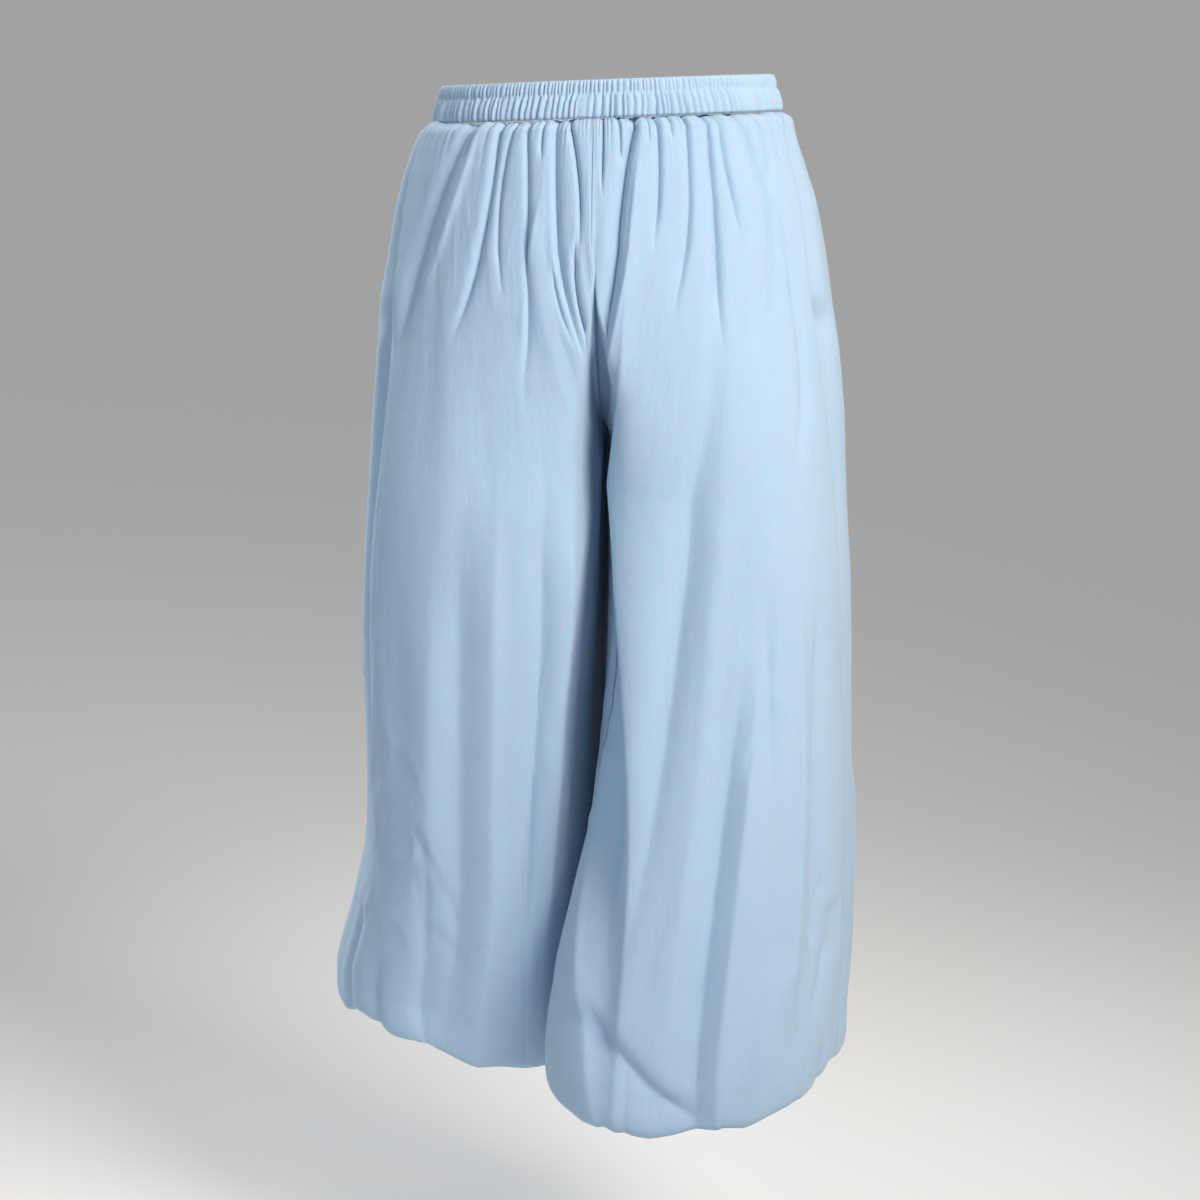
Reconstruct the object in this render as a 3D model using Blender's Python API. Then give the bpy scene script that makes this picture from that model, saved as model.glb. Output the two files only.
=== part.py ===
"""Wide-leg pull-on trousers with an elasticated waistband and a bubble hem, filled out as when worn.

Metres, +Z up. The origin is the middle of the waistband, the front faces -Y and the left leg is on +X.
The right leg stands a little behind the left one, and the waist is a little higher on the right.
"""
import bisect
import functools
import math
from collections import namedtuple

import bmesh
import bpy
from mathutils import Vector

# ---------------------------------------------------------------- driving dimensions
CLOTH = 0.0018              # thickness of the wall that stands for the cloth
SEAM = 0.0003               # gap between pieces that are sewn to each other
WAIST_TILT = math.radians(2.1)   # the waist is higher on the right
TILT_ENDS = 0.20            # depth under the waist where the tilt has died out
SEAT_STARTS = -0.10         # height where the centre seams start to curve under
CROTCH = -0.272             # height of the crotch point
CROTCH_COURSE = -0.320      # height at the side seam of the course that meets the crotch point
LEG_WHOLE = -0.38           # height where each leg is a rounded ring of its own
SEAM_REACH = 0.06           # share of a panel's width that is drawn in to the centre seam
COURSE_REACH = 0.50         # share of a panel's width over which a course bends to meet that seam
SEAM_CROWD = 0.35           # how much closer the gathers lie to the centre seam at the waist
HEM_ROW = -0.785            # height where the legs are widest, just above the hem fold
STRIDE = 0.065              # how far each foot is behind or before the middle, at the hem
INNER_POWER = {"left": 3.6, "right": 3.2}    # 2 is an ellipse, larger is squarer: towards the other leg
OUTER_POWER = 2.3                            # and towards the side seam
CLEFT_LEAN = {"left": 0.004, "right": 0.020} # how far the cloth beside the centre seam leans away from it
CLEFT_ROUND = 0.008         # how softly it turns into the back or the front
ROW_STEPS = 300             # fineness of the outline that each row is measured along
ROW_END = -1.4              # angle past the widest point where that outline ends
PARTING_LEAN = 0.5          # how far the upright plane between the legs is turned, at the hem
PARTING_SHIFT = 0.005       # and how far it has moved to the left there
PRESS_DEPTH = 0.02          # how deep the legs press each other flat
LEG_GAP = 0.001             # room between a leg and that plane

# waistband
BAND_TOP = 0.0155
BAND_BOTTOM = -0.0135
BAND_WALL = 0.0030
BAND_RIBS = 140
RIB_HEIGHT = 0.0014
# flat places between the ribs: middle and half-width, as shares of the way round from +X
PLAIN_PATCHES = ((0.050, 0.012), (0.233, 0.008), (0.426, 0.009))
BandRow = namedtuple("BandRow", "z side depth bulge rib")
BAND_ROWS = (
    #       height  side    depth   bulge   rib
    BandRow(BAND_BOTTOM, 0.1460, 0.1110, 0.0000, 0.5),
    BandRow(-0.0050, 0.1440, 0.1095, 0.0012, 1.0),
    BandRow(0.0050, 0.1412, 0.1070, -0.0006, 0.5),
    BandRow(0.0105, 0.1400, 0.1060, 0.0006, 0.9),
    BandRow(BAND_TOP, 0.1390, 0.1055, -0.0008, 0.4),
)

# widths and depths of the garment, a row for each height
Section = namedtuple("Section", "z left right back front left_in right_in seam")
SECTIONS = (
    #       height  left    right   back   front  inner edges     side seam, behind the widest point
    Section(-0.014, 0.1470, 0.1460, 0.111, 0.108, 0.000, 0.000, 0.034),
    Section(-0.021, 0.1565, 0.1550, 0.117, 0.112, 0.000, 0.000, 0.036),
    Section(-0.034, 0.1630, 0.1590, 0.121, 0.114, 0.000, 0.000, 0.038),
    Section(-0.055, 0.1705, 0.1660, 0.126, 0.117, 0.000, 0.000, 0.042),
    Section(-0.085, 0.1780, 0.1760, 0.132, 0.121, 0.000, 0.000, 0.046),
    Section(-0.125, 0.1855, 0.1845, 0.139, 0.125, 0.000, 0.000, 0.052),
    Section(-0.165, 0.1920, 0.1910, 0.144, 0.129, 0.000, 0.000, 0.057),
    Section(-0.205, 0.1950, 0.1970, 0.147, 0.132, 0.000, 0.000, 0.060),
    Section(-0.260, 0.1985, 0.2020, 0.149, 0.135, 0.000, 0.000, 0.062),
    Section(-0.320, 0.2020, 0.2045, 0.149, 0.136, 0.000, 0.000, 0.062),
    Section(-0.400, 0.2085, 0.2090, 0.148, 0.137, -0.004, -0.004, 0.062),
    Section(-0.490, 0.2120, 0.2100, 0.147, 0.138, -0.004, -0.006, 0.060),
    Section(-0.580, 0.2135, 0.2110, 0.146, 0.138, -0.002, -0.012, 0.058),
    Section(-0.660, 0.2170, 0.2115, 0.145, 0.138, -0.005, -0.024, 0.056),
    Section(-0.730, 0.2310, 0.2110, 0.144, 0.138, -0.008, -0.037, 0.054),
    Section(-0.785, 0.2475, 0.2085, 0.143, 0.137, -0.010, -0.043, 0.052),
)

# the way down the cloth and round under the hem, a row of the wall for each
Course = namedtuple("Course", "z inset")
COURSES = (
    Course(BAND_BOTTOM - SEAM, 0.0),
    Course(-0.021, 0.0),
    Course(-0.034, 0.0),
    Course(-0.055, 0.0),
    Course(-0.085, 0.0),
    Course(-0.120, 0.0),
    Course(-0.155, 0.0),
    Course(-0.180, 0.0),
    Course(-0.208, 0.0),
    Course(-0.236, 0.0),
    Course(-0.264, 0.0),
    Course(-0.292, 0.0),
    Course(CROTCH_COURSE, 0.0),
    Course(-0.355, 0.0),
    Course(-0.400, 0.0),
    Course(-0.440, 0.0),
    Course(-0.490, 0.0),
    Course(-0.580, 0.0),
    Course(-0.660, 0.0),
    Course(-0.730, 0.0),
    Course(HEM_ROW, 0.0),
    Course(-0.8070, 0.0010),
    Course(-0.8190, 0.0060),
    Course(-0.8185, 0.0145),
    Course(-0.8010, 0.0190),
    Course(-0.7720, 0.0190),
)

# how far the hem rises or dips: at the inseam, the middle of the panel and the side seam
HEM_LIFT = {
    "back_left": (0.000, -0.006, 0.032),
    "back_right": (0.011, -0.012, 0.019),
    "front_left": (0.000, -0.002, 0.032),
    "front_right": (0.011, -0.004, 0.019),
}

# gathers along the waist seam
GATHERS = 14                # on each panel
GATHER_HEIGHT = 0.0030
GATHER_LENGTHS = (0.022, 0.060, 0.034, 0.085, 0.028, 0.048, 0.070)   # how far down they run, in turn
GATHER_SIZES = (1.00, 0.60, 1.25, 0.80, 1.10)   # how high each stands, in turn, as a share of that height
GATHER_DRIFT = 0.010        # how unevenly they are spread, as a share of the panel's width
FOLD_FADE = 0.10            # share of a large fold's length over which it fades at each end

# pocket mouths in the side seams
MOUTH_END = -0.180          # the slit is open from the waist seam down to here
MOUTH_TUCK = 0.008          # how far the front edge lies behind the back edge
MOUTH_LAP = 0.045           # how far it goes round past it, as a share of the panel's width
MOUTH_LIP = 0.0015          # how far the back edge stands out
BAG_WALL = 0.0024           # two pressed layers
BAG_TOP = -0.020
BAG_BOTTOM = -0.262
BAG_ROOM = 0.0018           # clear of the panel's inside, over its gathers and folds
BAG_COLUMNS = 6
BAG_ROWS = 9

# the large folds of each panel; each runs through three places across it, from 0 at the inseam to 1
Fold = namedtuple("Fold", "top bottom start middle end half_width height")
FOLDS = {
    "back_left": (
        #    from    to      at top middle bottom  half-width, height (minus is a trough)
        Fold(-0.020, -0.270, 0.185, 0.150, 0.165, 0.036, -0.0065),
        Fold(-0.070, -0.430, 0.225, 0.290, 0.400, 0.036, -0.0050),
        Fold(-0.030, -0.200, 0.345, 0.385, 0.400, 0.036, -0.0035),
        Fold(-0.018, -0.160, 0.460, 0.475, 0.500, 0.036, -0.0030),
        Fold(-0.020, -0.620, 0.925, 0.900, 0.950, 0.040, 0.0040),
        Fold(-0.020, -0.640, 0.995, 0.980, 1.010, 0.040, -0.0060),
        Fold(-0.300, -0.830, 0.520, 0.570, 0.590, 0.050, -0.0040),
        Fold(-0.450, -0.830, 0.740, 0.710, 0.690, 0.045, -0.0035),
        Fold(-0.380, -0.830, 0.230, 0.200, 0.190, 0.060, 0.0035),
    ),
    "back_right": (
        Fold(-0.018, -0.180, 0.300, 0.195, 0.200, 0.036, -0.0080),
        Fold(-0.140, -0.830, 0.205, 0.335, 0.410, 0.040, 0.0060),
        Fold(-0.160, -0.830, 0.110, 0.200, 0.270, 0.050, -0.0050),
        Fold(-0.016, -0.100, 0.375, 0.370, 0.360, 0.036, -0.0040),
        Fold(-0.020, -0.160, 0.525, 0.500, 0.480, 0.036, -0.0030),
        Fold(-0.030, -0.170, 0.610, 0.595, 0.580, 0.036, -0.0035),
        Fold(-0.280, -0.830, 0.570, 0.530, 0.490, 0.050, -0.0040),
        Fold(-0.480, -0.830, 0.680, 0.658, 0.648, 0.038, 0.0045),
        Fold(-0.480, -0.720, 0.790, 0.790, 0.800, 0.038, -0.0035),
        Fold(-0.710, -0.850, 0.320, 0.345, 0.375, 0.036, -0.0045),
    ),
    "front_left": (
        Fold(-0.020, -0.260, 0.140, 0.120, 0.150, 0.036, -0.0050),
        Fold(-0.050, -0.400, 0.250, 0.300, 0.360, 0.038, -0.0040),
        Fold(-0.020, -0.180, 0.420, 0.430, 0.450, 0.036, -0.0030),
        Fold(-0.120, -0.830, 0.480, 0.520, 0.550, 0.050, -0.0045),
        Fold(-0.400, -0.830, 0.680, 0.700, 0.720, 0.045, 0.0040),
        Fold(-0.350, -0.830, 0.260, 0.230, 0.200, 0.055, 0.0035),
        Fold(-0.500, -0.800, 0.840, 0.830, 0.820, 0.040, -0.0035),
    ),
    "front_right": (
        Fold(-0.018, -0.280, 0.170, 0.130, 0.160, 0.036, -0.0055),
        Fold(-0.060, -0.360, 0.280, 0.330, 0.400, 0.038, -0.0040),
        Fold(-0.020, -0.150, 0.560, 0.540, 0.530, 0.036, -0.0035),
        Fold(-0.160, -0.830, 0.440, 0.480, 0.460, 0.050, 0.0045),
        Fold(-0.200, -0.830, 0.620, 0.600, 0.580, 0.050, -0.0045),
        Fold(-0.450, -0.830, 0.230, 0.210, 0.230, 0.050, -0.0035),
        Fold(-0.520, -0.800, 0.800, 0.810, 0.830, 0.040, 0.0035),
    ),
}

COLOURS = {
    "cloth": (0.45, 0.60, 0.74),
    "band": (0.47, 0.62, 0.76),
    "pocketing": (0.36, 0.50, 0.64),
}

SIDES = {"left": 1.0, "right": -1.0}
FACES = {"back": 1.0, "front": -1.0}


# ---------------------------------------------------------------- small helpers
def smooth_step(low, high, value):
    """0 below low, 1 above high, and a soft S between them."""
    share = min(1.0, max(0.0, (value - low) / (high - low)))
    return share * share * (3.0 - 2.0 * share)


def spline(before, start, end, after, share):
    """Smooth curve from start to end that knows the values on either side."""
    slope_in = (end - before) / 2.0
    slope_out = (after - start) / 2.0
    rest = 3.0 * (end - start) - 2.0 * slope_in - slope_out
    bend = 2.0 * (start - end) + slope_in + slope_out
    return start + share * (slope_in + share * (rest + share * bend))


def section_at(z):
    """The widths and depths at any height, smooth from row to row."""
    last = len(SECTIONS) - 1
    z = min(SECTIONS[0].z, max(SECTIONS[last].z, z))
    index = next(i for i in range(last) if z >= SECTIONS[i + 1].z)
    upper, lower = SECTIONS[index], SECTIONS[index + 1]
    before, after = SECTIONS[max(index - 1, 0)], SECTIONS[min(index + 2, last)]
    share = (upper.z - z) / (upper.z - lower.z)
    return Section(*(spline(*values, share) for values in zip(before, upper, lower, after)))


def course_at(place):
    """Height and inset at a place along the courses, which may lie between two of them."""
    last = len(COURSES) - 1
    place = min(float(last), max(0.0, place))
    index = min(int(place), last - 1)
    rows = [COURSES[min(last, max(0, index + step))] for step in (-1, 0, 1, 2)]
    return Course(*(spline(*values, place - index) for values in zip(*rows)))


def ring_point(angle, half_width, half_depth):
    """A point of an oval ring about its own middle, at an angle from +X."""
    across, along = math.cos(angle), math.sin(angle)
    radius = 1.0 / math.hypot(across / half_width, along / half_depth)
    return radius * across, radius * along


# ---------------------------------------------------------------- the garment's form
def below_crotch(z):
    """0 at the course that meets the crotch and above, 1 at the hem."""
    return min(1.0, max(0.0, (CROTCH_COURSE - z) / (CROTCH_COURSE - HEM_ROW)))


def seam_turn(z):
    """How far a course's end has gone round the curve of the centre seam, from 0 to a right angle."""
    down = min(1.0, max(0.0, (SEAT_STARTS - z) / (SEAT_STARTS - CROTCH_COURSE)))
    return math.pi / 2.0 * down


def course_bend(across, z):
    """How far a course rises or dips towards the centre seam, whose curve it meets."""
    if z > SEAT_STARTS:
        return 0.0
    seam_height = SEAT_STARTS - (SEAT_STARTS - CROTCH) * math.sin(seam_turn(z))
    bend = seam_height - max(z, CROTCH_COURSE)
    bend *= 1.0 - smooth_step(0.0, 0.35, below_crotch(z))
    return bend * (1.0 - smooth_step(0.0, COURSE_REACH, across))


def trunk_radius(angle, middle, outer, depth, lean, soft):
    """Distance from a leg's middle to the trunk's oval, or to the upright cloth beside the centre seam."""
    across, along = math.cos(angle), math.sin(angle)
    square = (across / outer) ** 2 + (along / depth) ** 2
    slope = middle * across / outer ** 2
    oval = (-slope + math.sqrt(slope * slope - square * ((middle / outer) ** 2 - 1.0))) / square
    towards = lean / depth * abs(along) - across
    if towards <= 0.0:
        return oval
    wall = middle / towards
    if soft < 1e-6:
        return min(oval, wall)
    nearer = min(oval, wall)
    return nearer - soft * math.log1p(math.exp(-abs(oval - wall) / soft))


def leg_radius(angle, half_width, depth, side):
    """Distance from a leg's middle to its own rounded ring."""
    across, along = math.cos(angle), math.sin(angle)
    inward = smooth_step(-0.2, 0.5, -across)
    power = OUTER_POWER + (INNER_POWER[side] - OUTER_POWER) * inward
    total = abs(across / half_width) ** power + abs(along / depth) ** power
    return total ** (-1.0 / power)


@functools.lru_cache(maxsize=None)
def row_outline(side, face, z):
    """A row of a panel as fine points and the share of its width at each, 1 at the side seam."""
    section = section_at(z)
    outer, inner = getattr(section, side), getattr(section, side + "_in")
    depth = getattr(section, face)
    depth_behind = section.front if face == "back" else section.back
    middle, half = (outer + inner) / 2.0, (outer - inner) / 2.0
    whole = smooth_step(-SEAT_STARTS, -LEG_WHOLE, -z)
    recess = math.cos(seam_turn(z))
    start = math.atan2(depth * recess, -middle)
    cleft = smooth_step(0.0, 0.5, 1.0 - recess)
    points = []
    for step in range(ROW_STEPS + 1):
        angle = start + (ROW_END - start) * step / ROW_STEPS
        reach = depth if angle > 0.0 else depth_behind
        trunk = trunk_radius(angle, middle, outer, reach, CLEFT_LEAN[side] * cleft, CLEFT_ROUND * cleft)
        radius = (1.0 - whole) * trunk + whole * leg_radius(angle, half, reach, side)
        points.append((middle + radius * math.cos(angle), radius * math.sin(angle)))
    lengths = [0.0]
    for before, after in zip(points, points[1:]):
        lengths.append(lengths[-1] + math.dist(before, after))
    seam = section.seam * FACES[face]
    past = next(i for i, (x, y) in enumerate(points) if x > middle and y <= seam)
    share = (points[past - 1][1] - seam) / (points[past - 1][1] - points[past][1])
    width = lengths[past - 1] + share * (lengths[past] - lengths[past - 1])
    crowd = 1.0 / (1.0 + SEAM_CROWD * recess)
    return points, [(length / width) ** crowd for length in lengths]


def level_point(side, face, across, z):
    """Plan position on a panel at a height, from the centre seam or inseam (0) to the side seam (1)."""
    z = round(z, 7)
    points, shares = row_outline(side, face, z)
    place = min(len(shares) - 1, max(1, bisect.bisect_left(shares, across)))
    part = (across - shares[place - 1]) / (shares[place] - shares[place - 1])
    x, y = (a + part * (b - a) for a, b in zip(points[place - 1], points[place]))
    if z > CROTCH_COURSE:
        x -= points[0][0] * (1.0 - smooth_step(0.0, SEAM_REACH, across))
    behind = -SIDES[side] * STRIDE * below_crotch(z) ** 1.3
    return SIDES[side] * (x + SEAM / 2.0), behind + FACES[face] * (y + SEAM / 2.0)


def press_legs(side, x, y, z):
    """Flattens a leg softly where it would pass through the upright plane between the legs."""
    down = below_crotch(z)
    if down == 0.0:
        return x, y
    lean, shift = PARTING_LEAN * down, PARTING_SHIFT * down
    length = math.hypot(1.0, lean)
    normal = (1.0 / length, -lean / length)
    away = SIDES[side] * ((x - shift) * normal[0] + y * normal[1])
    reach = PRESS_DEPTH * smooth_step(0.0, 0.4, down) + SEAM / 2.0
    if away >= reach:
        return x, y
    kept = reach * math.exp((away - reach) / reach) + LEG_GAP * smooth_step(0.0, 0.2, down)
    move = SIDES[side] * (kept - away)
    return x + move * normal[0], y + move * normal[1]


def hem_lift(panel, across, z):
    """How far the hem rises or dips across a panel."""
    inner, middle, outer = HEM_LIFT[panel]
    if across < 0.5:
        lift = inner + (middle - inner) * smooth_step(0.0, 0.5, across)
    else:
        lift = middle + (outer - middle) * smooth_step(0.5, 1.0, across)
    return lift * smooth_step(0.4, 1.0, below_crotch(z))


def base_point(side, face, across, place):
    """A point of the plain form, before gathers and folds."""
    z, inset = course_at(place)
    x, y = level_point(side, face, across, z)
    if inset > 0.0:
        step = 0.001
        ahead = level_point(side, face, across + step, z)
        tangent = Vector((ahead[0] - x, ahead[1] - y)).normalized()
        turn = SIDES[side] * FACES[face]
        x += inset * turn * tangent.y
        y -= inset * turn * tangent.x
    x, y = press_legs(side, x, y, z)
    tilt = -x * math.tan(WAIST_TILT) * (1.0 - smooth_step(0.0, TILT_ENDS, -z))
    return Vector((x, y, z + tilt + course_bend(across, z) + hem_lift(f"{face}_{side}", across, z)))


def base_normal(side, face, across, place):
    """Outward direction of the plain form, which turns down and inwards round the hem."""
    step = 0.002
    last = len(COURSES) - 1
    left, right = max(0.0, across - step), min(1.0 + MOUTH_LAP, across + step)
    up, down = max(0.0, place - step), min(float(last), place + step)
    along = base_point(side, face, right, place) - base_point(side, face, left, place)
    downwards = base_point(side, face, across, down) - base_point(side, face, across, up)
    return along.cross(downwards).normalized() * (SIDES[side] * FACES[face])


def drift(spread):
    """Uneven spacing of the gathers across a panel."""
    window = math.sin(math.pi * spread)
    return spread + GATHER_DRIFT * window * (math.sin(13.0 * spread) + 0.6 * math.sin(29.0 * spread))


def gather_height(spread, z):
    """Height of the gathers, which run down from the waist seam and fade unevenly."""
    number = int(spread * GATHERS + 0.5)
    reach = GATHER_LENGTHS[number % len(GATHER_LENGTHS)]
    size = GATHER_HEIGHT * GATHER_SIZES[number % len(GATHER_SIZES)]
    depth = BAND_BOTTOM - z
    rise = 0.6 + 0.4 * smooth_step(0.0, 0.01, depth)
    return size * rise * math.exp(-depth / reach) * math.cos(2.0 * math.pi * GATHERS * spread)


def fold_line(fold, share):
    """Where across the panel a fold lies, along a bow through its three places."""
    chord = fold.start + (fold.end - fold.start) * share
    bow = fold.middle - (fold.start + fold.end) / 2.0
    return chord + 4.0 * bow * share * (1.0 - share)


def fold_height(panel, across, z):
    """Height of the large folds of a panel."""
    total = 0.0
    for fold in FOLDS[panel]:
        share = (fold.top - z) / (fold.top - fold.bottom)
        line = fold_line(fold, min(1.0, max(0.0, share)))
        fade = smooth_step(-FOLD_FADE, FOLD_FADE, share) * smooth_step(-FOLD_FADE, FOLD_FADE, 1.0 - share)
        total += fold.height * fade * math.exp(-((across - line) / fold.half_width) ** 2)
    return total


def mouth_open(z):
    """1 along the pocket mouth, 0 below it."""
    return 1.0 - smooth_step(-MOUTH_END - 0.002, -MOUTH_END + 0.025, -z)


def mouth_lap(z):
    """How far the front edge passes behind the back edge, nothing from the mouth's end on."""
    return MOUTH_LAP * (1.0 - smooth_step(-MOUTH_END - 0.025, -MOUTH_END, -z))


def tuck_depth(across, z):
    """How far the front panel lies inside, towards its edge at the pocket mouth."""
    near_top = 0.35 + 0.65 * smooth_step(0.014, 0.045, -z)
    return MOUTH_TUCK * near_top * mouth_open(z) * smooth_step(0.90, 0.99, across)


def surface(side, face, spread, place):
    """Outer point of a panel and the direction in which its cloth has its thickness."""
    z = course_at(place).z
    across = drift(spread)
    edge = smooth_step(0.0, 0.03, spread) * smooth_step(0.0, 0.03, 1.0 - spread)
    relief = edge * (gather_height(spread, z) + fold_height(f"{face}_{side}", across, z))
    if face == "front":
        relief -= tuck_depth(across, z)
        across *= 1.0 + mouth_lap(z)
    else:
        relief += MOUTH_LIP * mouth_open(z) * smooth_step(0.93, 1.0, across)
    normal = base_normal(side, face, across, place)
    return base_point(side, face, across, place) + normal * relief, normal


# ---------------------------------------------------------------- meshes
def add_object(name, mesh, colour, collection):
    """A finished object with its own material."""
    material = bpy.data.materials.new(name)
    material.use_nodes = True
    shader = material.node_tree.nodes["Principled BSDF"]
    shader.inputs["Base Color"].default_value = (*colour, 1.0)
    shader.inputs["Roughness"].default_value = 0.85
    shader.inputs["Metallic"].default_value = 0.0
    mesh.materials.append(material)
    mesh.shade_smooth()
    mesh.set_sharp_from_angle(angle=math.radians(50.0))
    obj = bpy.data.objects.new(name, mesh)
    collection.objects.link(obj)
    return obj


def closed_wall(name, outer, inner):
    """Joins two grids of points, the wall's two faces, into one closed body."""
    build = bmesh.new()
    rows, columns = len(outer), len(outer[0])
    front = [[build.verts.new(point) for point in row] for row in outer]
    back = [[build.verts.new(point) for point in row] for row in inner]
    for row in range(rows - 1):
        for column in range(columns - 1):
            for grid in (front, back):
                corners = (grid[row][column], grid[row + 1][column],
                           grid[row + 1][column + 1], grid[row][column + 1])
                build.faces.new(corners)
    for row in (0, rows - 1):
        for column in range(columns - 1):
            build.faces.new((front[row][column], front[row][column + 1],
                             back[row][column + 1], back[row][column]))
    for row in range(rows - 1):
        for column in (0, columns - 1):
            build.faces.new((front[row][column], front[row + 1][column],
                             back[row + 1][column], back[row][column]))
    bmesh.ops.recalc_face_normals(build, faces=build.faces)
    mesh = bpy.data.meshes.new(name)
    build.to_mesh(mesh)
    build.free()
    return mesh


def make_panel(side, face, collection):
    """One leg panel, from the waist seam down and round under the hem."""
    name = f"{face}_{side}"
    columns = 2 * GATHERS
    outer, inner = [], []
    for row in range(len(COURSES)):
        points = [surface(side, face, column / columns, float(row)) for column in range(columns + 1)]
        outer.append([point for point, normal in points])
        inner.append([point - normal * CLOTH for point, normal in points])
    return add_object(name, closed_wall(name, outer, inner), COLOURS["cloth"], collection)


def make_pocket_bag(side, collection):
    """The pressed pocket bag behind the front panel, sewn into the side seam where the mouth ends."""
    name = f"pocket_bag_{side}"
    outer, inner = [], []
    for row in range(BAG_ROWS + 1):
        down = row / BAG_ROWS
        z = BAG_TOP + (BAG_BOTTOM - BAG_TOP) * down
        place = next(i for i in range(len(COURSES)) if COURSES[i + 1].z <= z)
        place += (COURSES[place].z - z) / (COURSES[place].z - COURSES[place + 1].z)
        near = 0.58 + 0.12 * smooth_step(0.6, 1.0, down)
        far = 1.0 - 0.18 * smooth_step(0.66, 1.0, down)
        for points in (outer, inner):
            points.append([])
        for column in range(BAG_COLUMNS + 1):
            across = near + (far - near) * column / BAG_COLUMNS
            normal = base_normal(side, "front", across, place)
            gathers = GATHER_HEIGHT * max(GATHER_SIZES) * math.exp((z - BAND_BOTTOM) / max(GATHER_LENGTHS))
            folds = -min(0.0, fold_height(f"front_{side}", across, z))
            sewn = smooth_step(0.95, 1.0, across) * (1.0 - mouth_lap(z) / MOUTH_LAP)
            room = (BAG_ROOM + gathers + folds) * (1.0 - sewn) + SEAM * sewn
            depth = CLOTH + room + tuck_depth(across, z)
            point = base_point(side, "front", across, place) - normal * depth
            outer[-1].append(point)
            inner[-1].append(point - normal * BAG_WALL)
    return add_object(name, closed_wall(name, outer, inner), COLOURS["pocketing"], collection)


def make_waistband(collection):
    """The ribbed band: raised ribs outside, a plain face inside."""
    columns = 2 * BAND_RIBS
    build = bmesh.new()
    rings = []
    for column in range(columns):
        share = column / columns
        angle = 2.0 * math.pi * share
        plain = max(math.exp(-((share - middle) / half) ** 4) for middle, half in PLAIN_PATCHES)
        uneven = 0.75 + 0.25 * math.sin(17.0 * angle) * math.sin(5.0 * angle + 1.0)
        wave = RIB_HEIGHT * uneven * (1.0 if column % 2 == 0 else -1.0)
        profile = []
        for row in BAND_ROWS:
            out = row.bulge + wave * row.rib * (1.0 - 0.85 * plain)
            x, y = ring_point(angle, row.side + out, row.depth + out)
            profile.append((x, y, row.z))
        for row in (BAND_ROWS[-1], BAND_ROWS[0]):
            x, y = ring_point(angle, row.side - BAND_WALL, row.depth - BAND_WALL)
            profile.append((x, y, row.z))
        tilt = math.tan(WAIST_TILT)
        rings.append([build.verts.new((x, y, z - x * tilt)) for x, y, z in profile])
    for column in range(columns):
        ring, ahead = rings[column], rings[(column + 1) % columns]
        for place in range(len(ring)):
            after = (place + 1) % len(ring)
            build.faces.new((ring[place], ahead[place], ahead[after], ring[after]))
    bmesh.ops.recalc_face_normals(build, faces=build.faces)
    mesh = bpy.data.meshes.new("waistband")
    build.to_mesh(mesh)
    build.free()
    return add_object("waistband", mesh, COLOURS["band"], collection)


def main():
    for obj in list(bpy.data.objects):
        bpy.data.objects.remove(obj)
    collection = bpy.data.collections.new("wide_leg_trousers")
    bpy.context.scene.collection.children.link(collection)
    make_waistband(collection)
    for side in SIDES:
        for face in FACES:
            make_panel(side, face, collection)
        make_pocket_bag(side, collection)


main()
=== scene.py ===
# %% [markdown]
# # Wide-leg trousers with a bubble hem
#
# A pair of pull-on trousers in plain light-blue cotton poplin, filled out as when worn, from behind.
# Four panels make the legs, a ribbed band holds elastic at the waist, and the hems are turned under.
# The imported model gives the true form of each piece. Every cloth piece here follows the same form,
# with a far finer net of points, so that gathers, creases and ribs can be real geometry.
# Everything is in metres, +Z is up, the front faces -Y and the left leg is on +X.

import math
from collections import namedtuple

import bmesh
import bpy
import numpy as np
from mathutils import Matrix, Vector


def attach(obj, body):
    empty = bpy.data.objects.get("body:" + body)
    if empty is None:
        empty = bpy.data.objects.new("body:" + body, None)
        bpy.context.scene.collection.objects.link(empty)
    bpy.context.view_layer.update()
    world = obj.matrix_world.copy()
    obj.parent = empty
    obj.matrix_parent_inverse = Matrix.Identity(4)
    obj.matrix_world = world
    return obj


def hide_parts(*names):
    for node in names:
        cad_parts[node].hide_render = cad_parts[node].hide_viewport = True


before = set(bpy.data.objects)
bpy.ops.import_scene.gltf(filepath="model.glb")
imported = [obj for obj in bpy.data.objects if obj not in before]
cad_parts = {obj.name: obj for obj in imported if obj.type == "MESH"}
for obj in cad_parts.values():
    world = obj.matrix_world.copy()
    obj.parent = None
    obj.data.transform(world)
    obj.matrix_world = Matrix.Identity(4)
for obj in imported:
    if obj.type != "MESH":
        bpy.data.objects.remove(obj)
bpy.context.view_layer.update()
print("nodes:", ", ".join(sorted(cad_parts)))

# %% [markdown]
# ## The studio
#
# The camera stands level with the waist, 2.4 m behind the garment and a little to its right, and looks
# slightly down. A long lens keeps the legs' sides nearly upright. A warm key lamp, high behind on the
# right, models the folds. A weak bluish one to the left of the camera opens the shadows, a third lights
# the front, and a grey sky fills in the rest.

# %% Camera
CAMERA_AZIMUTH = 184.5      # degrees round the garment, 180 is straight behind
CAMERA_DISTANCE = 2.4
CAMERA_PITCH = 10.057       # degrees below level
CAMERA_TURN = 0.142         # degrees to the left, which sets the waist a little right of the middle
CAMERA_LENS = 84.58         # mm on a sensor 36 mm wide


def add_object(name, data):
    """A new object in the scene."""
    obj = bpy.data.objects.new(name, data)
    bpy.context.scene.collection.objects.link(obj)
    return obj


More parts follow.
